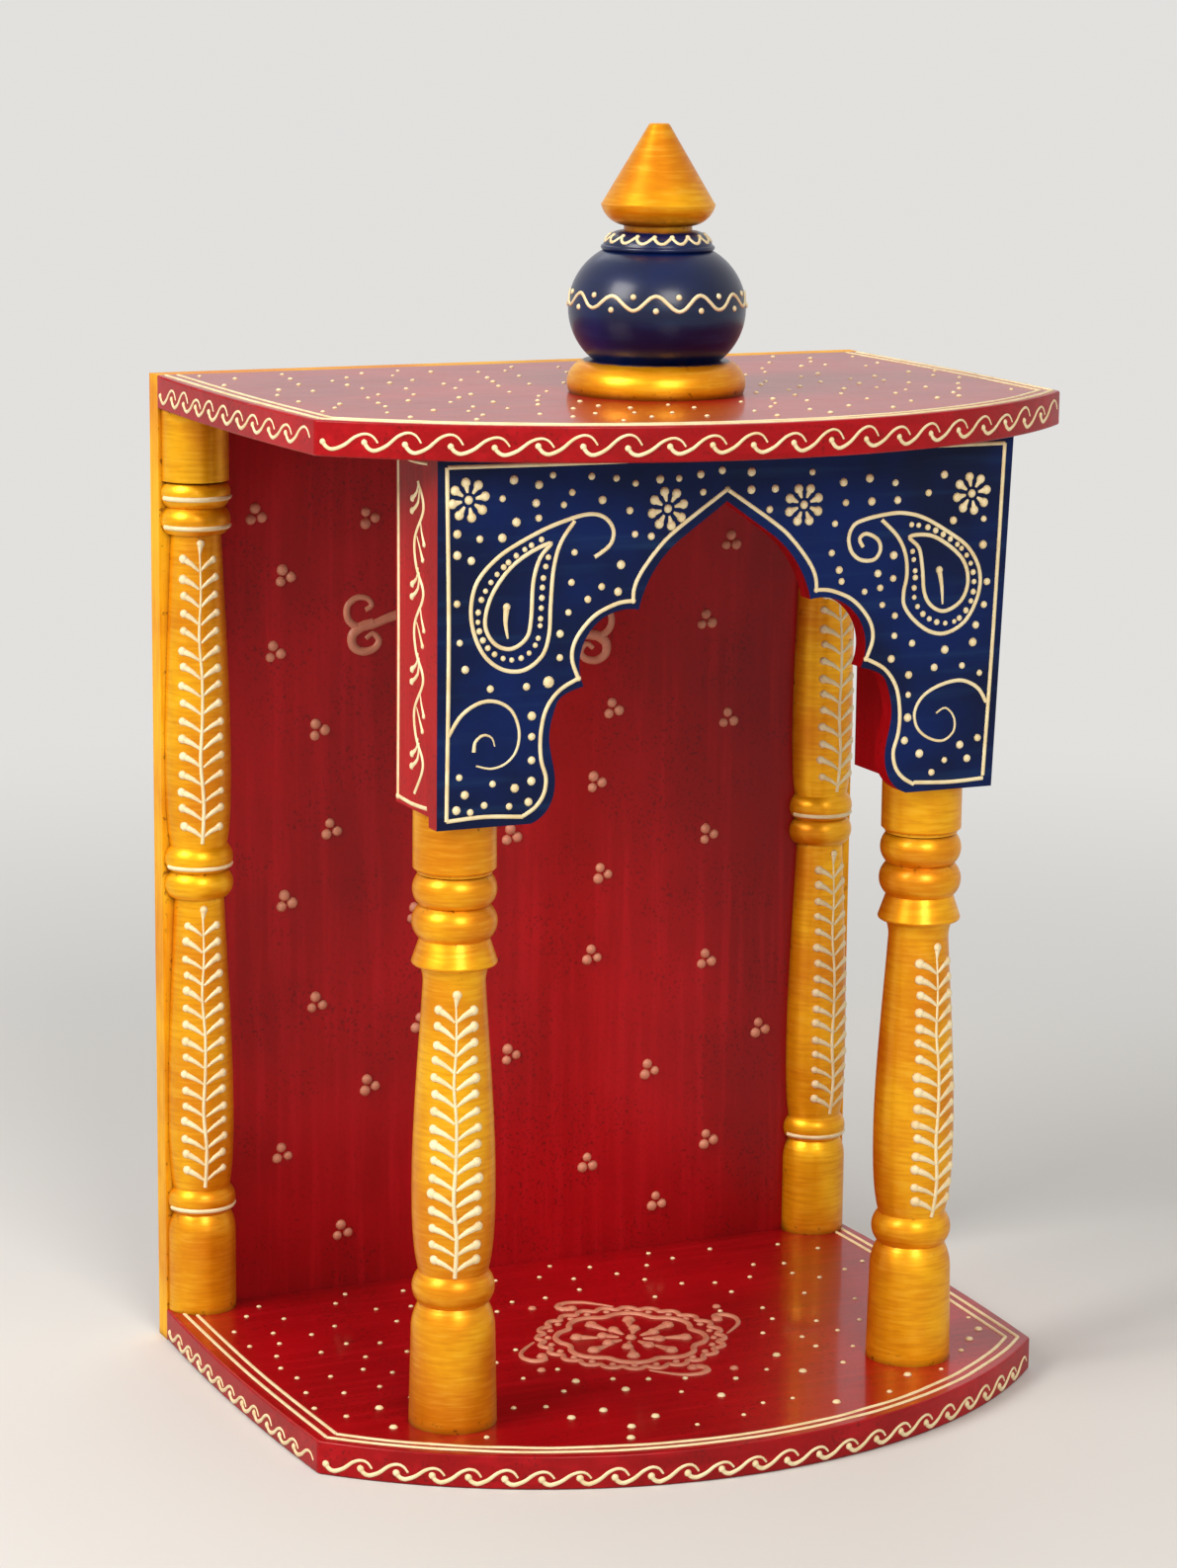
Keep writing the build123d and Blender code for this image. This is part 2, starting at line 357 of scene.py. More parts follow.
class Paint(Mixture):
    """One paint: a material with a shader, and the place on the piece that is painted."""

    def __init__(self, name):
        self.material = bpy.data.materials.new(name)
        super().__init__(self.material)
        self.shader = self.tree.nodes["Principled BSDF"]
        self.spot = self.node("ShaderNodeTexCoord", output="Object")

    def set(self, **inputs):
        """Feed the shader: base_color is its Base Color, and so on."""
        for name, value in inputs.items():
            title = name.replace("_", " ").title().replace("Ior", "IOR")
            self.feed(self.shader.inputs[title], value)

    def axis(self, name):
        """One of the coordinates X, Y or Z, in metres."""
        return self.node("ShaderNodeSeparateXYZ", inputs={"Vector": self.spot}, output=name)

    def facing(self, name):
        """How far the surface faces along the axis X, Y or Z, from -1 to 1."""
        normal = self.node("ShaderNodeNewGeometry", output="True Normal")
        return self.node("ShaderNodeSeparateXYZ", inputs={"Vector": normal}, output=name)

    def noise(self, scale, stretch=(1, 1, 1), detail=3.0, roughness=0.5):
        """Cloudy noise from 0 to 1, with so many clouds a metre along each axis."""
        size = [scale * part for part in stretch]
        place = self.node("ShaderNodeMapping", inputs={"Vector": self.spot, "Scale": size})
        inputs = {"Vector": place, "Scale": 1.0, "Detail": detail, "Roughness": roughness}
        return self.node("ShaderNodeTexNoise", inputs=inputs)

    def rise(self, value, low, high):
        """A soft step from 0 at low to 1 at high."""
        inputs = {"Value": value, "From Min": low, "From Max": high}
        return self.node("ShaderNodeMapRange", {"interpolation_type": "SMOOTHSTEP"}, inputs)

    def blend(self, share, first, second):
        """The first colour where the share is 0 and the second where it is 1."""
        inputs = {MIX_SHARE: share, MIX_FIRST: first, MIX_SECOND: second}
        return self.node("ShaderNodeMix", {"data_type": "RGBA"}, inputs, MIX_RESULT)

    def crevice(self, reach):
        """From 0 in the open to 1 deep in a groove or a corner of that reach."""
        settings = {"samples": 8}
        return 1 - self.node("ShaderNodeAmbientOcclusion", settings, {"Distance": reach}, "AO")

    def relief(self, height, depth):
        """A bump of that depth in metres, fed to the shader."""
        inputs = {"Height": height, "Strength": 1.0, "Distance": depth}
        self.set(normal=self.node("ShaderNodeBump", inputs=inputs))


# How brush marks are stretched: from side to side, up and down, and round a turning
ALONG_X = (0.06, 1, 1)
ALONG_Z = (1, 1, 0.05)
AROUND = (0.1, 0.1, 1)

# How far into grooves and corners the painted shade reaches, in metres
GROOVE = 0.006


def crimson(paint, grain):
    """Brushed crimson colour with worn specks and painted shade in its corners, and its relief."""
    streaks = paint.noise(260, grain)
    clouds = paint.noise(14, detail=4)
    worn = paint.rise(paint.noise(45, detail=3), 0.45, 0.6)
    specks = paint.rise(paint.noise(800, detail=3), 0.54, 0.66) * (0.35 + 0.65 * worn)
    body = paint.blend(paint.rise(clouds, 0.3, 0.7), colour(138, 3, 13), colour(166, 7, 20))
    body = paint.blend(paint.rise(streaks, 0.45, 0.75) * 0.35, body, colour(196, 24, 36))
    body = paint.blend(specks * 0.6, body, colour(84, 14, 12))
    # Painted shade: darker in grooves and corners, the more they are enclosed
    painted_shade = paint.rise(paint.crevice(GROOVE), 0.35, 0.9)
    return paint.blend(painted_shade * 0.6, body, colour(45, 4, 10)), streaks


def blue(paint, grain):
    """The colour of deep blue paint with paler brush strokes, and its relief."""
    streaks = paint.noise(210, grain, detail=5)
    clouds = paint.noise(22, detail=4)
    body = paint.blend(paint.rise(clouds, 0.35, 0.7), colour(3, 21, 54), colour(2, 33, 86))
    body = paint.blend(paint.rise(streaks, 0.5, 0.8) * 0.45, body, colour(32, 62, 100))
    return body, streaks


def gold(paint, grain):
    """The colour of antique gold paint with painted shade in its grooves, and its relief."""
    streaks = paint.noise(900, grain, detail=4)
    clouds = paint.noise(30, detail=5)
    body = paint.blend(paint.rise(clouds, 0.3, 0.7), colour(222, 132, 6), colour(252, 184, 22))
    body = paint.blend(paint.rise(streaks, 0.42, 0.7) * 0.3, body, colour(196, 102, 4))
    body = paint.blend(paint.rise(streaks, 0.5, 0.25) * 0.2, body, colour(255, 214, 84))
    # Painted shade in grooves and corners, deepened a little where the paint is worn
    wear = paint.rise(paint.noise(420, detail=3), 0.6, 0.72)
    painted_shade = paint.rise(paint.crevice(GROOVE) + wear * 0.25, 0.2, 0.7)
    return paint.blend(painted_shade * 0.85, body, colour(96, 40, 4)), streaks


def crimson_board():
    """Crimson brushed from side to side. The gloss varnish is thick on top, thin on the edge."""
    paint = Paint("crimson_varnish")
    body, streaks = crimson(paint, ALONG_X)
    flat = paint.rise(abs(paint.facing("Z")), 0.5, 0.9)
    paint.set(base_color=body, roughness=0.36 + 0.12 * paint.noise(60))
    paint.set(coat_weight=0.12 + 0.38 * flat, coat_roughness=0.10, specular_ior_level=0.15)
    paint.relief(streaks, 0.00008)
    return paint.material


def crimson_block():
    """The sides of the corner blocks: crimson that has gone matt."""
    paint = Paint("crimson_matt")
    body, streaks = crimson(paint, ALONG_Z)
    paint.set(base_color=body, roughness=0.45 + 0.12 * paint.noise(60))
    paint.set(specular_ior_level=0.15, coat_weight=0.05, coat_roughness=0.2)
    paint.relief(streaks, 0.00008)
    return paint.material


def crimson_panel():
    """The back panel: crimson with gold along its sides and on its top edge."""
    paint = Paint("crimson_and_gold_panel")
    red, streaks = crimson(paint, ALONG_Z)
    yellow, _ = gold(paint, ALONG_Z)
    gold_margin = 13.0 * MM
    edge = panel_half * MM - gold_margin
    sides = paint.rise(abs(paint.axis("X")), edge, edge + 0.4 * MM)
    top = paint.rise(paint.axis("Z"), (body_top - 0.4) * MM, body_top * MM)
    mask = sides.maths("MAXIMUM", top)
    paint.set(base_color=paint.blend(mask, red, yellow), metallic=0.15 * mask)
    paint.set(roughness=0.42 + 0.1 * mask, specular_ior_level=0.18)
    paint.set(coat_weight=0.12 - 0.12 * mask, coat_roughness=0.2)
    paint.relief(streaks, 0.00010)
    return paint.material


def blue_arch():
    """The arch board: blue on its face and its back, crimson on all its edges."""
    paint = Paint("blue_and_crimson_arch")
    face, streaks = blue(paint, ALONG_X)
    cut, _ = crimson(paint, ALONG_Z)
    edge = paint.rise(abs(paint.facing("Y")), 0.9, 0.8)
    paint.set(base_color=paint.blend(edge, face, cut))
    paint.set(roughness=0.42 + 0.14 * paint.noise(80), specular_ior_level=0.12)
    paint.set(coat_weight=0.1, coat_roughness=0.25)
    paint.relief(streaks, 0.00012)
    return paint.material


def gold_turning():
    """Columns in antique gold, with brush lines that run round them."""
    paint = Paint("antique_gold")
    body, streaks = gold(paint, AROUND)
    paint.set(base_color=body, metallic=0.6, roughness=0.31 + 0.14 * paint.noise(90))
    paint.set(specular_ior_level=0.25, coat_weight=0.12, coat_roughness=0.15)
    paint.relief(streaks, 0.00006)
    return paint.material


def finial_paint():
    """The finial: a blue pot and lip between a gold foot ring and a gold lid."""
    paint = Paint("blue_pot_and_gold_lid")
    pot, streaks = blue(paint, AROUND)
    metal, _ = gold(paint, AROUND)
    height = paint.axis("Z") + 0.0006 * paint.noise(220)
    foot_end, lid_start, soft = body_top + 11.5, body_top + 56.0, 0.2
    foot = paint.rise(height, (foot_end + soft) * MM, (foot_end - soft) * MM)
    lid = paint.rise(height, (lid_start - soft) * MM, (lid_start + soft) * MM)
    mask = foot.maths("MAXIMUM", lid)
    paint.set(base_color=paint.blend(mask, pot, metal), metallic=0.6 * mask)
    paint.set(roughness=0.38, coat_weight=0.42 - 0.3 * mask)
    paint.set(coat_roughness=0.22, specular_ior_level=0.2)
    paint.relief(streaks, 0.00006)
    return paint.material


def cream_paint(name, body, shade):
    """Cone-laid cream paint, a little uneven in colour and matt."""
    paint = Paint(name)
    clouds = paint.rise(paint.noise(160, detail=4), 0.35, 0.75)
    paint.set(base_color=paint.blend(clouds * 0.6, body, shade), roughness=0.5)
    paint.set(coat_weight=0.15, coat_roughness=0.3)
    paint.relief(paint.noise(700, detail=2), 0.00006)
    return paint.material


def dress(nodes, material):
    """Give CAD nodes their paint."""
    for node in nodes:
        slots = frame["nodes"][node].data.materials
        slots.clear()
        slots.append(material)


dress(["base_board", "top_board"], crimson_board())
dress(["corner_block_left", "corner_block_right"], crimson_block())
dress(["back_panel"], crimson_panel())
dress(["arch_board"], blue_arch())
dress(["finial"], finial_paint())
dress(
    ["front_column_left", "front_column_right", "back_column_left", "back_column_right"],
    gold_turning(),
)

cream = cream_paint("cream", colour(244, 226, 180), colour(222, 190, 130))
faded_cream = cream_paint("faded_cream", colour(206, 134, 106), colour(186, 100, 80))


def flower(cone, skin, centre, radius, petals, width):
    """Drop petals round a centre dot."""
    centre = Vector(centre)
    start = hand.uniform(0, 0.4)
    for number in range(petals):
        out = outward(start + 2 * math.pi * number / petals) * radius
        cone.drop(skin, centre + out * 0.42, centre + out, width)
    cone.dot(skin, centre, width * 0.9)


def beads_along(cone, skin, places, pitch, width):
    """A row of dots along a smooth path."""
    travelled, path = 0.0, smooth(places)
    for before, here in zip(path, path[1:]):
        travelled += (here - before).length
        if travelled >= pitch:
            travelled -= pitch
            cone.dot(skin, here, width * hand.uniform(0.88, 1.1))


def mirrored(places):
    """The same places on the other side of the middle line."""
    return [(-across, up) for across, up in places]


def arch_ornament():
    """Border, flowers, paisleys, spirals and scattered dots on the face of the arch board."""
    cone = Cone("arch_ornament")
    skin = front_skin("arch_board")
    left, right, foot, top = arch_left + 3.5, 106.5, arch_foot + 3, top_foot - 3
    leg_half = 74
    cone.line(skin, [(left, foot), (left + 0.6, 290), (left - 0.2, top)])
    cone.line(skin, [(left, top), (-40, top - 0.5), (20, top + 0.2), (right, top)])
    cone.line(skin, [(right, top), (104, 280), (right - 5, foot + 1)])
    cone.line(skin, [(left, foot), (-88, foot + 0.6), (-leg_half, foot - 0.4)])
    cone.line(skin, [(right - 5, foot), (88, foot - 0.4), (leg_half, foot + 0.4)])
    leg = [(74, 228.3), (69.6, 231), (66.6, 235), (65.7, 240.5), (67.5, 247), (67.8, 255)]
    leg += [(66, 263.5), (61.3, 269.8), (54.2, 273.6)]
    lobe = [(54.2, 273.6), (56.6, 280.6), (55, 287.2), (48.6, 294.3), (40.3, 298), (34.4, 298.6)]
    crown = [(34.4, 298.6), (34, 303), (31.4, 308.3), (25.2, 316), (18.4, 322), (0, 334.6)]
    for stroke in (leg, lobe, crown):
        cone.line(skin, stroke)
        cone.line(skin, mirrored(stroke))
        cone.dot(skin, stroke[-1], 2.1)
        cone.dot(skin, mirrored(stroke)[-1], 2.1)
    for centre in ((-94, 335), (-22, 329), (29, 328), (94, 329)):
        flower(cone, skin, centre, 5.9, 8, 3.4)
    left_paisley(cone, skin)
    right_paisley(cone, skin)
    lower_spirals(cone, skin)
    scattered_dots(cone, skin)
    cone.lay(cream)


def left_paisley(cone, skin):
    """The paisley on the left, its tip curling towards the middle."""
    outer = [(-48.7, 314), (-43, 318), (-42, 323), (-45.5, 327.3), (-52, 328.4), (-63, 325.6)]
    outer += [(-73, 321.5), (-83, 316), (-90.5, 308.5), (-93, 300), (-92, 291), (-88, 283)]
    outer += [(-81.5, 278.2), (-74, 277.6), (-67.5, 282), (-65, 289), (-64.5, 299), (-63.5, 311)]
    outer += [(-61, 319.5), (-56, 326.5)]
    inner = [(-64.5, 319.5), (-72.5, 316.5), (-80, 311), (-86, 302.5), (-88, 293.5), (-84.5, 287)]
    inner += [(-78.5, 285), (-73, 288.5), (-71.5, 295), (-70.8, 307), (-68.3, 315)]
    band = [(-64.5, 322.5), (-76, 316.6), (-84.5, 309.3), (-89.7, 301), (-90.3, 292.5)]
    band += [(-86.3, 285), (-79.5, 281.4), (-73, 282.6), (-68.9, 288), (-67.9, 298)]
    band += [(-67.2, 308), (-65.3, 315.5)]
    cone.line(skin, outer)
    cone.line(skin, inner, closed=True)
    beads_along(cone, skin, band, 3.3, 2.1)
    cone.drop(skin, (-79.8, 288.5), (-80.3, 299), 2.8, bend=0.06)


def right_paisley(cone, skin):
    """The paisley on the right, its tip rolled into a small spiral."""
    spiral = [(52, 312.5), (50.6, 315.3), (53, 317), (57.4, 315), (58.8, 311.4), (56.5, 308)]
    spiral += [(51.4, 308), (47.6, 311), (46.4, 316), (48.4, 320.2), (53, 322)]
    outer = [(60, 323.2), (67, 323.5), (75, 321.6), (84, 316.8), (93, 310.5), (97.8, 302.3)]
    outer += [(97.6, 293.6), (93, 285), (86, 281), (79.5, 281.5), (73.2, 285.5), (68.7, 291)]
    outer += [(68.2, 296), (69.3, 302), (68.5, 309.3), (65.2, 315.6), (59, 321.5)]
    inner = [(70, 315.1), (77.7, 315.3), (85, 311.7), (91.4, 305.8), (93.4, 298.6), (91, 292)]
    inner += [(84.7, 288.6), (79.3, 290.6), (76.3, 295.5), (75.3, 304), (73.8, 311)]
    band = [(66.5, 319.6), (76, 318.4), (85, 314.2), (92, 308.5), (95.6, 300.5), (94.8, 291.5)]
    band += [(89.5, 285.2), (82.5, 284.6), (76, 288), (72.4, 294), (72.6, 302), (71.3, 310)]
    cone.line(skin, spiral + outer)
    cone.line(skin, inner, closed=True)
    beads_along(cone, skin, band, 3.3, 2.1)
    cone.drop(skin, (83.6, 291), (82, 303), 2.8, bend=-0.03)


def lower_spirals(cone, skin):
    """The spirals on the legs of the arch, each with a hooked inner end."""
    left = [(-101, 257), (-96.4, 263.7), (-90, 267.5), (-83.8, 267.6), (-78.3, 264.2)]
    left += [(-75.6, 257.5), (-76.4, 251), (-80, 246.8), (-85.4, 245.2), (-91, 246.5)]
    hook = [(-84.3, 252.6), (-85.4, 255.6), (-88.4, 256.7), (-91.3, 254.6), (-91.8, 251.2)]
    right = [(102, 255.5), (98.4, 260.8), (91.8, 263.8), (83.7, 262.7), (76.9, 259.2)]
    right += [(73.7, 253.7), (75, 248), (79.6, 244.2), (85.3, 243), (89.4, 246.2)]
    right += [(89.2, 251.2), (85.8, 254.5), (82.2, 252.8)]
    cone.line(skin, left, swell=dying)
    cone.line(skin, hook, swell=fattening)
    cone.line(skin, right, swell=dying)


def scattered_dots(cone, skin):
    """The single dots that fill the blue ground, row by row from the top."""
    left = [(-78, 341), (-69, 339), (-64, 342), (-50, 341), (-41, 340), (-34, 338), (-25, 339)]
    left += [(-18, 339), (-10, 340), (-2, 341), (-57, 336), (-46, 333), (-82, 335), (-70, 333)]
    left += [(-60, 332), (-36, 329), (-9, 334), (-69, 328), (-77, 327), (-98, 324), (-90, 322)]
    left += [(-82, 322), (-34, 321), (-28, 320), (-98, 317), (-93, 315), (-56, 316), (-39, 311)]
    left += [(-57, 306), (-46, 304), (-40, 302), (-51, 300), (-98, 301), (-58, 296), (-97, 288)]
    left += [(-61, 289), (-61, 281), (-95, 279), (-86, 272), (-73, 272), (-71, 262), (-71, 255)]
    left += [(-71, 247), (-71, 240), (-97, 243), (-85, 240), (-77, 238), (-95, 237), (-88, 233)]
    left += [(-79, 232), (-72, 233), (-98, 232), (-93, 231)]
    right = [(9, 340), (9, 334), (18, 334), (16, 327), (32, 339), (44, 335), (54, 336), (64, 334)]
    right += [(83, 336), (45, 328), (55, 328), (65, 328), (77, 330), (41, 321), (87, 320)]
    right += [(99, 320), (40, 311), (43, 305), (64, 309), (58, 303), (64, 301), (99, 311)]
    right += [(44, 301), (53, 297), (59, 298), (101, 298), (60, 292), (65, 288), (100, 290)]
    right += [(97, 283), (65, 281), (72, 278), (85, 275), (96, 277), (64, 273), (71, 267)]
    right += [(81, 269), (92, 269), (99, 266), (71, 260), (71, 252), (70, 244), (76, 239)]
    right += [(86, 236), (95, 236), (99, 243), (92, 241), (81, 232)]
    cone.dots(skin, left + right, 2.8)
    cone.dots(skin, [(-65, 273), (44, 335)], 3.6)


# One stroke of the running scroll, in pitches along it and heights above its foot
SCROLL = [(0, 0.42), (0.08, 0.15), (0.24, 0), (0.52, 0.27), (0.80, 0.80), (1.04, 1), (1.22, 0.86)]
SCROLL += [(1.34, 0.48)]


def running_scroll(cone, skin, start, end, foot, height, count, width):
    """A row of S strokes from left to right, each with a round head under the one before."""
    pitch = (end - start) / (count + 0.4)
    for number in range(count):
        origin = start + number * pitch + hand.uniform(-0.5, 0.5)
        tall = height * hand.uniform(0.86, 1.06)
        low = foot + hand.uniform(-0.3, 0.3)
        stroke = [(origin + pitch * across, low + tall * up) for across, up in SCROLL]
        cone.line(skin, stroke, width, swell=dying)
        cone.dot(skin, stroke[0], width * 1.5)


def edge_scrolls(name, node, foot, height, count, width):
    """The running scroll on the front and both sides of a board's edge."""
    cone = Cone(name)
    half_arc = front_radius * math.asin(front_corner_half / front_radius)
    running_scroll(cone, rim_skin(node), 3 - half_arc, half_arc - 3, foot, height, count, width)
    for side in (-1, 1):
        back, corner = side * (panel_face - 4), side * (front_corner_y + 3)
        left, right = sorted((back, corner))
        running_scroll(cone, side_skin(node, side), left, right, foot, height, count // 2, width)
    cone.lay(cream)


def edge_line(cone, skin, inset, width):
    """A line that follows a board's edge at that inset: one side, the front, the other side."""
    radius = front_radius - inset
    half_angle = math.asin((front_corner_half - inset) / radius)
    front = []
    for number in range(-12, 13):
        angle = half_angle * number / 12
        reach = radius + hand.uniform(-0.25, 0.25)
        front.append((math.sin(angle) * reach, front_centre_y - math.cos(angle) * reach))
    cone.line(skin, front, width)
    for side, corner in ((-1, front[0]), (1, front[-1])):
        # Half way back the sides have spread by 2.7 mm
        middle = (side * (front_corner_half + 2.7 - inset), 20)
        back = (side * (panel_half - inset), panel_face - 2)
        cone.line(skin, [corner, middle, back], width)


def scatter(count, gap, taken):
    """Places strewn on a board, clear of each other and of what is taken."""
    half, front, back, front_margin = 132, -100, 94, 15
    placed = []
    while len(placed) < count:
        spot = Vector((hand.uniform(-half, half), hand.uniform(front, back)))
        reach = math.hypot(spot.x, spot.y - front_centre_y)
        clear = reach < front_radius - front_margin
        clear = clear and all((spot - Vector(centre)).length > room for centre, room in taken)
        if clear and all((spot - other).length > gap for other in placed):
            placed.append(spot)
    return placed


def top_board_ornament():
    """Two lines round the top board and small dots strewn on it."""
    cone = Cone("top_board_ornament")
    skin = top_skin("top_board")
    edge_line(cone, skin, 2.5, 1.4)
    edge_line(cone, skin, 7.0, 1.2)
    cone.dots(skin, scatter(150, 11, [(FINIAL_PLACE, 35)]), 1.9)
    cone.lay(cream)


def base_board_ornament():
    """Two lines round the base board, and dots strewn on it that grow towards the front."""
    cone = Cone("base_board_ornament")
    skin = top_skin("base_board")
    edge_line(cone, skin, 4.2, 1.6)
    edge_line(cone, skin, 8.2, 1.6)
    medallion_room, column_room, corner_room = 44, 18, 16
    taken = [(IDOL_PLACE, medallion_room)]
    for side in (-1, 1):
        taken += [((side * 89.5, -50), column_room), ((side * 128, 96), corner_room)]
    for spot in scatter(130, 11, taken):
        width = 2.0 if spot.y > -20 else hand.choice((1.8, 2.2, 3.2))
        cone.dot(skin, spot, width)
    cone.lay(cream)


def ring(centre, radius, lobes, depth):
    """Places round a centre, with lobes that stand out by the depth."""
    places = []
    steps = lobes * 4
    for number in range(steps):
        angle = 2 * math.pi * number / steps
        reach = radius + depth * abs(math.sin(angle * lobes / 2))
        places.append(centre + outward(angle) * reach)
    return places


# A small scroll that leaves a ring: along the ring and out from it
CURL = [(-9, 0), (-5, 4.5), (0, 9), (6, 10.5), (10.5, 8), (10, 4), (6.5, 3.5)]


def curl(cone, skin, centre, angle, start, width):
    """A small scroll that leaves a ring at an angle and rolls up to a round head."""
    out, along = outward(angle), outward(angle + math.pi / 2)
    root = centre + out * start
    cone.leaf(skin, [root + along * a + out * b for a, b in CURL], width)


def medallion():
    """The round medallion on the base board, under the idol's place."""
    cone = Cone("base_medallion")
    skin = top_skin("base_board")
    centre = Vector(IDOL_PLACE)
    petals, scallops, curls = 8, 24, 4
    inner_ring, outer_ring, curl_foot, curl_end = 24.5, 32, 35, 49
    flower(cone, skin, centre, 10.5, petals, 4.8)
    for number in range(petals):
        out = outward(2 * math.pi * (number + 0.5) / petals)
        cone.drop(skin, centre + out * 12, centre + out * 20, 5.2)
    cone.line(skin, ring(centre, inner_ring, petals, 3.2), 2.8, closed=True)
    cone.line(skin, ring(centre, outer_ring, scallops, 2.6), 2.6, closed=True)
    for number in range(scallops):
        out = outward(2 * math.pi * (number + 0.5) / scallops)
        cone.dot(skin, centre + out * (outer_ring - 1.6), 2.8)
    for number in range(curls):
        angle = 2 * math.pi * number / curls
        curl(cone, skin, centre, angle, curl_foot, 4.4)
        cone.dot(skin, centre + outward(angle + 0.42) * curl_end, 3.4)
    cone.lay(faded_cream)


def panel_ornament():
    """Three-dot clusters strewn on the back panel and a scroll behind the arch."""
    cone = Cone("panel_ornament")
    skin = front_skin("back_panel")
    clusters = [(-105, 309), (-61, 306), (-94, 286), (-98, 258), (-81, 228), (-76, 190)]
    clusters += [(-94, 164), (-82, 124), (-61, 90), (-96, 67), (-72, 34), (-3, 96), (30, 49)]
    clusters += [(31, 132), (32, 200), (35, 164), (39, 228), (56, 84), (78, 260), (80, 126)]
    clusters += [(80, 176), (82, 53), (88, 221), (88, 290), (-42, 155), (-3, 182), (-36, 60)]
    clusters += [(-40, 112), (-38, 205), (-14, 316), (40, 310), (60, 30), (104, 96), (104, 316)]
    for cluster in clusters:
        turn = hand.uniform(0, 0.5)
        for number in range(3):
            out = outward(turn + math.pi / 2 + 2 * math.pi * number / 3)
            cone.dot(skin, Vector(cluster) + out * 2.5, 4.1 * hand.uniform(0.9, 1.1))
    trunk = [(-29, 268), (-42, 270.5), (-51, 269)]
    upper = [(-59.5, 266.2), (-65.3, 265.6), (-69.2, 268.6), (-69.5, 273.5), (-65.9, 276.5)]
    upper += [(-61.5, 276), (-59.9, 273.3), (-62.4, 271.8)]
    lower = [(-59.5, 266.5), (-64, 265.6), (-67.6, 262.6), (-67.2, 258.4), (-63.4, 256.2)]
    lower += [(-58.9, 257.2), (-57, 260.1), (-59.5, 262.9), (-62.2, 261)]
    middle, fall, width = -16, 9, 4.2
    flower(cone, skin, (middle, 262), 12, 8, 4.6)
    for roll in (trunk + upper, lower):
        cone.line(skin, roll, width, swell=dying)
        other = [(2 * middle - across, up - fall) for across, up in roll]
        cone.line(skin, other, width, swell=dying)
    cone.lay(faded_cream)


def vine(cone, skin, side):
    """A waving stem with pairs of hooked leaves, down the side of a corner block."""
    wave, peak = 28.6, top_foot - 17.6

    def on(places, high=0.0):
        """Places that are given from the back edge of the block, and from that height."""
        return [(side * (block_back - across), high + up) for across, up in places]

    stem = on([(19.4, peak + 8.3)])
    for number in range(4):
        stem += on([(24.2, 0), (16.7, -10.7), (18.0, -20)], peak - wave * number)
    cone.line(skin, [place for place in stem if place[1] > block_foot + 3], 1.5)
    behind = [[(19.6, 8.4), (18.6, 5.0), (14.6, 2.2)], [(20.6, 7.0), (19.6, 1.5), (14.3, -2.0)]]
    ahead = [[(21.6, -5), (22.4, -8), (24.8, -12)], [(18.3, -10), (20.6, -13), (23.6, -17.3)]]
    for number in range(4):
        high = peak - wave * number
        for leaf in behind:
            cone.leaf(skin, on(leaf, high), 2.6)
        if number < 3:
            for leaf in ahead:
                cone.leaf(skin, on(leaf, high), 2.0)


def block_ornament():
    """The border and the vine on the outer side of each corner block."""
    cone = Cone("block_ornament")
    for side, node in ((-1, "corner_block_left"), (1, "corner_block_right")):
        skin = side_skin(node, side)
        back, front = side * (block_back - 2), side * (block_front + 1.5)
        foot, top = block_foot + 2.2, top_foot - 2.2
        middle = side * (block_back + block_front) / 2
        cone.line(skin, [(back, foot), (back - side * 0.5, 290), (back, top)], 1.5)
        cone.line(skin, [(back, foot), (middle, foot - 0.4), (front, foot + 0.3)], 1.5)
        cone.line(skin, [(back, top), (middle, top - 0.9), (front, top - 0.4)], 1.1)
        cone.dot(skin, (back, foot), 2.4)
        vine(cone, skin, side)
    cone.lay(cream)


def sprig(cone, skin, foot, top, spread, leaves, width):
    """A stem with drop leaves that point up and outwards on both sides."""
    pitch = (top - foot - 6) / leaves
    sways = [0.6 * math.sin(2.2 * number) for number in range(8)]
    stem = [(sway, foot + (top - foot - 3) * number / 7) for number, sway in enumerate(sways)]
    cone.line(skin, stem, width * 0.45, swell=dying)
    cone.drop(skin, (sways[-1], top - 4), (sways[-1] + 0.5, top), width * 0.9)
    for number in range(leaves):
        low = foot + 2.5 + pitch * number
        for side in (-1, 1):
            reach = side * spread * hand.uniform(0.92, 1.04)
            head = low + 3.9 + hand.uniform(-0.5, 0.5)
            size = width * hand.uniform(0.85, 1.08)
            cone.drop(skin, (0.3 * side, low), (reach, head), size, bend=side * 0.06)


def column_ornament():
    """Sprigs on the shafts of all four columns and rings on the beads of the back ones."""
    cone = Cone("column_ornament")
    front_shaft, back_shaft = 14.4, 12.4  # radii near which the arc lengths hold
    for node, facing in (("front_column_left", -110), ("front_column_right", -82)):
        skin = turned_skin(node, facing, front_shaft)
        sprig(cone, skin, foot=67, top=166, spread=8.3, leaves=16, width=3.7)
    for node, facing in (("back_column_left", -100), ("back_column_right", -80)):
        skin = turned_skin(node, facing, back_shaft)
        for foot, top in ((61, 166), (191, 301)):
            sprig(cone, skin, foot, top, spread=7.6, leaves=16, width=3.4)
        skin = turned_skin(node, -90, back_shaft)
        for height in (52, 181.5, 306.5, 317):
            cone.line(skin, [(across, height) for across in (-17, -6, 6, 17)], 1.9)
    cone.lay(cream)


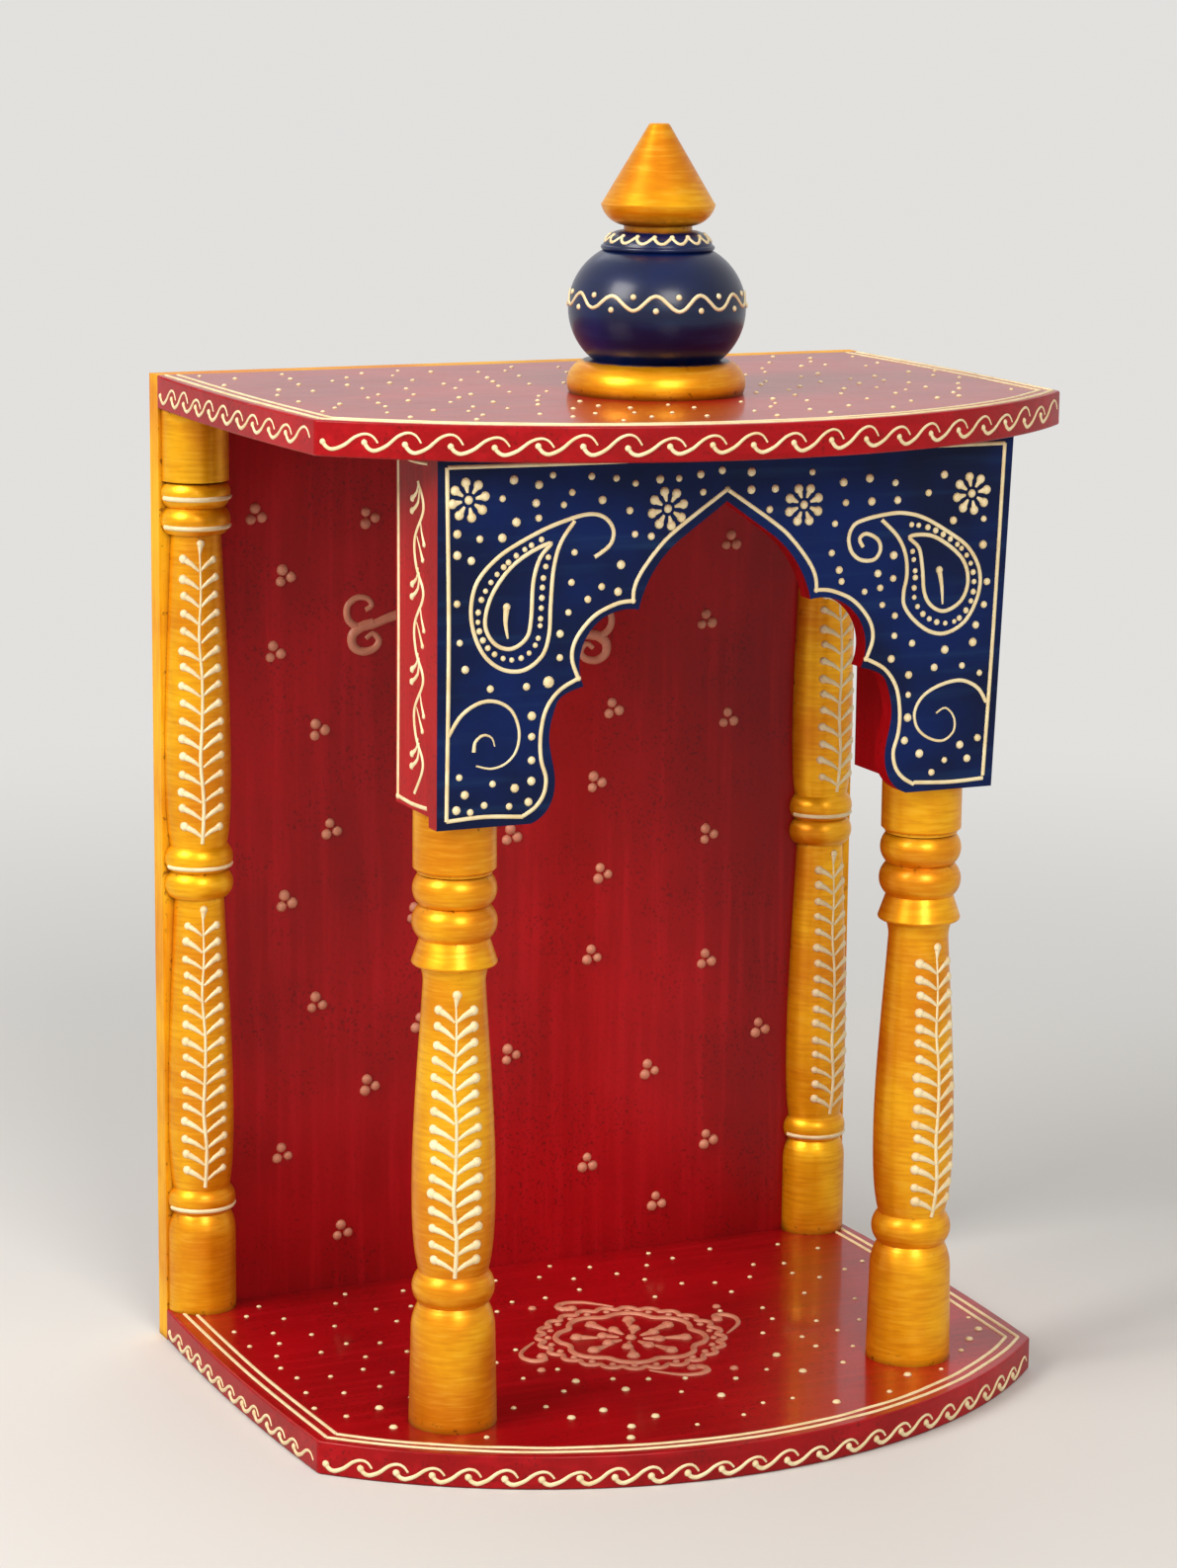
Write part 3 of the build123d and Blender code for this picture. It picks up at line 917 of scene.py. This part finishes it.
def pot_ornament():
    """The wave and its dots round the pot, and the looped scallops on its lip."""
    cone = Cone("pot_ornament")
    belly, waves = 30.6, 12
    seam = 49  # where the wave starts and ends, in degrees, out of sight at the back
    skin = turned_skin("finial", seam, belly)
    middle, swing = body_top + 33.0, 2.5
    around = 2 * math.pi * belly
    wave = []
    for number in range(waves):
        tall = swing * hand.uniform(0.85, 1.12)
        for part in range(8):
            up = middle - tall * math.cos(math.pi * part / 4)
            wave.append((around * (number + part / 8) / waves, up))
    wave.append((around, wave[0][1]))
    cone.line(skin, wave, 1.4)
    for number in range(waves):
        cone.dot(skin, (around * number / waves, middle + 2.1), 2.2)
        cone.dot(skin, (around * (number + 0.5) / waves, middle - 2.5), 2.2)
    lip, loops = 17.0, 17
    skin = turned_skin("finial", seam, lip)
    low, high = body_top + 52.3, body_top + 54.5
    pitch = 2 * math.pi * lip / loops
    for number in range(loops):
        start = pitch * number
        scallop = [(start, high), (start + pitch * 0.25, low + 0.3), (start + pitch * 0.55, low)]
        scallop += [(start + pitch * 0.95, high - 0.4), (start + pitch * 1.12, high + 0.2)]
        cone.line(skin, scallop, 1.2)
        cone.dot(skin, (start + pitch * 0.06, high), 1.8)
    cone.lay(cream)


arch_ornament()
edge_scrolls("base_edge_scroll", "base_board", foot=1.8, height=5.0, count=24, width=1.75)
edge_scrolls("top_edge_scroll", "top_board", foot=top_foot + 2.7, height=6.2, count=21, width=1.45)
top_board_ornament()
base_board_ornament()
medallion()
panel_ornament()
block_ornament()
column_ornament()
pot_ornament()


def studio():
    """A wide pale floor that fades into a backdrop of the same colour."""
    paint = Paint("pale_floor")
    paint.set(base_color=(0.72, 0.71, 0.69, 1), roughness=0.8)
    reach = paint.node("ShaderNodeVectorMath", {"operation": "LENGTH"}, {0: paint.spot}, "Value")
    lit_reach, pale_reach, floor_radius = 0.3, 1.3, 30
    far = paint.rise(reach, lit_reach, pale_reach) * paint.seen()
    glow = paint.node("ShaderNodeEmission", inputs={"Color": PALE, "Strength": 1.0})
    near = Value(paint, paint.shader.outputs["BSDF"])
    surface = paint.node("ShaderNodeMixShader", inputs={0: far, 1: near, 2: glow})
    paint.feed(paint.tree.nodes["Material Output"].inputs["Surface"], surface)
    disc = bmesh.new()
    bmesh.ops.create_circle(disc, cap_ends=True, segments=96, radius=floor_radius)
    mesh = bpy.data.meshes.new("floor")
    disc.to_mesh(mesh)
    disc.free()
    mesh.materials.append(paint.material)
    floor = bpy.data.objects.new("floor", mesh)
    bpy.context.scene.collection.objects.link(floor)


def lamp(name, place, size, power, tint):
    """A soft square lamp that looks at the shrine."""
    light = bpy.data.lights.new(name, "AREA")
    light.size = size
    light.energy = power
    light.color = tint
    holder = bpy.data.objects.new(name, light)
    bpy.context.scene.collection.objects.link(holder)
    holder.location = place
    aim = Vector((0, 0, 0.22)) - Vector(place)
    holder.rotation_euler = aim.to_track_quat("-Z", "Y").to_euler()


def daylight():
    """Soft light from the left, the front and above, with an even dim sky all round."""
    lamp("key", (-1.25, -0.25, 1.15), 0.7, 20, (1.0, 0.97, 0.92))
    lamp("front", (-0.2, -1.6, 1.15), 0.7, 18, (1.0, 0.96, 0.9))
    lamp("top", (0.3, 0.9, 1.5), 1.2, 6, (0.92, 0.96, 1.0))
    sky = bpy.data.worlds.new("sky")
    bpy.context.scene.world = sky
    mixture = Mixture(sky)
    dim = mixture.node("ShaderNodeBackground", inputs={"Color": PALE, "Strength": 0.35})
    pale = mixture.node("ShaderNodeBackground", inputs={"Color": PALE, "Strength": 1.0})
    surface = mixture.node("ShaderNodeMixShader", inputs={0: mixture.seen(), 1: dim, 2: pale})
    mixture.feed(mixture.tree.nodes["World Output"].inputs["Surface"], surface)


def camera():
    """The photograph's viewpoint. Its long side is 1587 pixels and its focal length 4200."""
    long_side, focal_pixels = 1587, 4200
    yaw, pitch, roll = math.radians(-24.54), math.radians(-11.29), math.radians(0.58)
    lens = bpy.data.cameras.new("camera")
    lens.sensor_width = 36
    lens.lens = lens.sensor_width * focal_pixels / long_side
    eye = bpy.data.objects.new("camera", lens)
    bpy.context.scene.collection.objects.link(eye)
    place = Matrix.Translation((-0.6160, -1.3110, 0.5095))
    turn = Matrix.Rotation(yaw, 4, "Z") @ Matrix.Rotation(math.pi / 2 + pitch, 4, "X")
    eye.matrix_world = place @ turn @ Matrix.Rotation(roll, 4, "Z")
    bpy.context.scene.camera = eye


studio()
daylight()
camera()
bpy.context.scene.view_settings.view_transform = "Standard"
